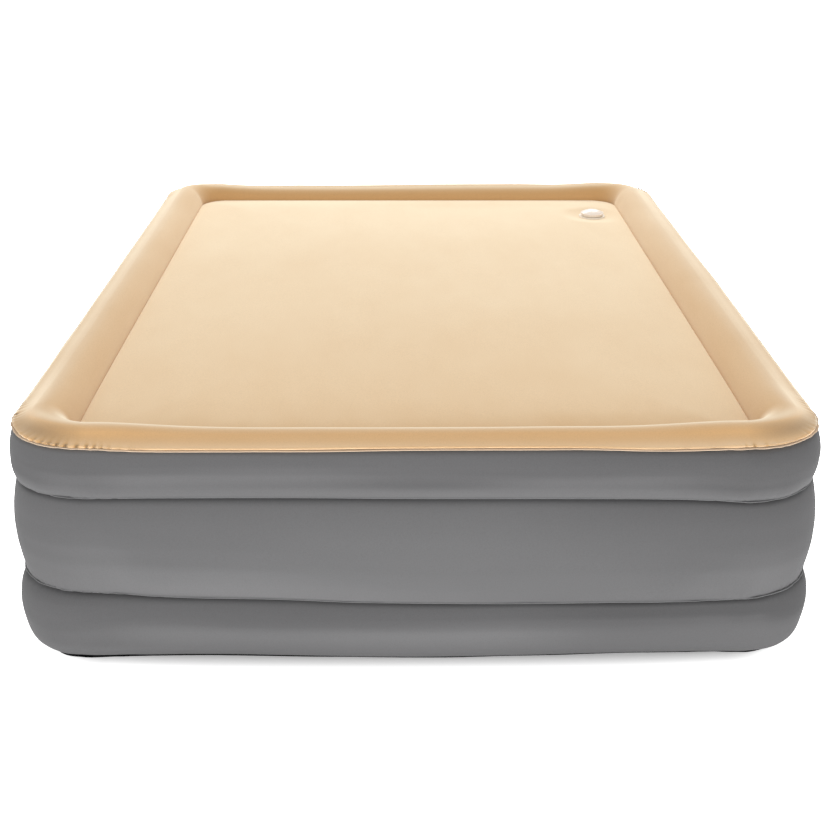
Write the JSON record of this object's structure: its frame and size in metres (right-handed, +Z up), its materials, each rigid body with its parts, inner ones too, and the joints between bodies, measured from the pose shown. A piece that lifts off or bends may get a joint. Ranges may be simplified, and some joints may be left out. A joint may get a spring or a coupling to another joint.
{
  "type": "air mattress",
  "caption": "Raised queen-size air mattress with a three-tier flocked air chamber, raised rim, foam sleeping panel, screw-cap valve and a built-in pump.",
  "frame": {"origin": "middle of the footprint, on the floor", "axes": "+X right seen from the foot end, +Y from the foot end towards the head end, where the pump is, +Z up"},
  "size_m": [1.5456, 2.0719, 0.48],
  "materials": {
    "bottom_vinyl": "satin",
    "grey_flock": "matte",
    "clear_vinyl": "satin",
    "grey_vinyl": "satin",
    "foam": "matte",
    "foam_dark": "matte",
    "tan_flock": "matte",
    "valve_plastic": "satin",
    "cap_plastic": "gloss",
    "seal_rubber": "matte",
    "pin_steel": "satin",
    "housing_plastic": "satin",
    "face_plastic": "matte",
    "knob_plastic": "satin",
    "rocker_plastic": "gloss",
    "cord_rubber": "satin",
    "plug_rubber": "matte",
    "motor_steel": "satin",
    "fan_plastic": "satin",
    "wire_jacket": "satin"
  },
  "bodies": {
    "base": {"bottom_sheet": "bottom_vinyl", "lower_wall": "grey_flock", "lower_beams": "clear_vinyl", "lower_waist_sheet": "grey_vinyl", "middle_wall": "grey_flock", "middle_beams": "clear_vinyl", "pump_weld_flange": "grey_vinyl", "pump_housing": "housing_plastic", "pump_faceplate": "face_plastic", "faceplate_screws": "pin_steel", "intake_grille": "knob_plastic", "dust_filter": "foam_dark", "switch_body": "knob_plastic", "door_pin": "pin_steel", "power_cord": "cord_rubber", "power_plug": "plug_rubber", "motor": "motor_steel", "motor_mount": "motor_steel", "mount_bushes": "seal_rubber", "fan_scroll": "housing_plastic", "outlet_flap_pin": "pin_steel", "lead_wires": "wire_jacket"},
    "deck": {"upper_waist_sheet": "grey_vinyl", "upper_wall": "grey_flock", "upper_beams": "clear_vinyl", "deck_sheet": "clear_vinyl", "trough_tie_band": "clear_vinyl", "foam_core": "foam", "sleep_cover": "tan_flock", "rim_cover": "tan_flock", "valve_body": "valve_plastic", "flap_pin": "pin_steel", "strap_pin": "pin_steel"},
    "valve_flap": {"check_flap": "seal_rubber"},
    "strap": {"cap_strap": "valve_plastic"},
    "cap": {"valve_cap": "cap_plastic", "cap_gasket": "seal_rubber"},
    "knob": {"control_knob": "knob_plastic", "diverter_disc": "housing_plastic"},
    "rocker": {"power_rocker": "rocker_plastic"},
    "door": {"cord_door": "face_plastic"},
    "fan_rotor": {"fan": "fan_plastic", "fan_shaft": "pin_steel"},
    "pump_flap": {"outlet_flap": "seal_rubber"}
  },
  "joints": [
    {"name": "deck_deflate", "type": "slide", "parent": "base", "child": "deck", "axis": [0, 0, 1], "range_m": [-0.175, 0], "stiffness_N_per_m": 6000, "springref_m": 0.02, "deforming": ["middle_wall", "middle_beams"]},
    {"name": "cap_swing", "type": "hinge", "parent": "deck", "child": "strap", "pos_m": [0.551, 0.7465, 0.4455], "axis": [-1, 0, 0], "range_deg": [0, 150]},
    {"name": "cap_twist", "type": "hinge", "parent": "strap", "child": "cap", "pos_m": [0.551, 0.704, 0.45], "axis": [0, 0, 1], "range_deg": [0, 90]},
    {"name": "valve_flap_swing", "type": "hinge", "parent": "deck", "child": "valve_flap", "pos_m": [0.551, 0.6845, 0.425], "axis": [-1, 0, 0], "range_deg": [0, 38], "stiffness_Nm_per_rad": 0.02},
    {"name": "knob_turn", "type": "hinge", "parent": "base", "child": "knob", "pos_m": [-0.064, 1.025, 0.082], "axis": [0, 1, 0], "range_deg": [-90, 90]},
    {"name": "rocker_tilt", "type": "hinge", "parent": "base", "child": "rocker", "pos_m": [-0.01, 1.026, 0.108], "axis": [-1, 0, 0], "range_deg": [0, 16]},
    {"name": "door_swing", "type": "hinge", "parent": "base", "child": "door", "pos_m": [0.1, 1.0305, 0.082], "axis": [0, 0, -1], "range_deg": [0, 110]},
    {"name": "fan_spin", "type": "hinge", "parent": "base", "child": "fan_rotor", "pos_m": [-0.044, 0.95, 0.082], "axis": [0, 1, 0], "continuous": true},
    {"name": "pump_flap_swing", "type": "hinge", "parent": "base", "child": "pump_flap", "pos_m": [-0.067, 0.9365, 0.1316], "axis": [1, 0, 0], "range_deg": [0, 50]}
  ]
}
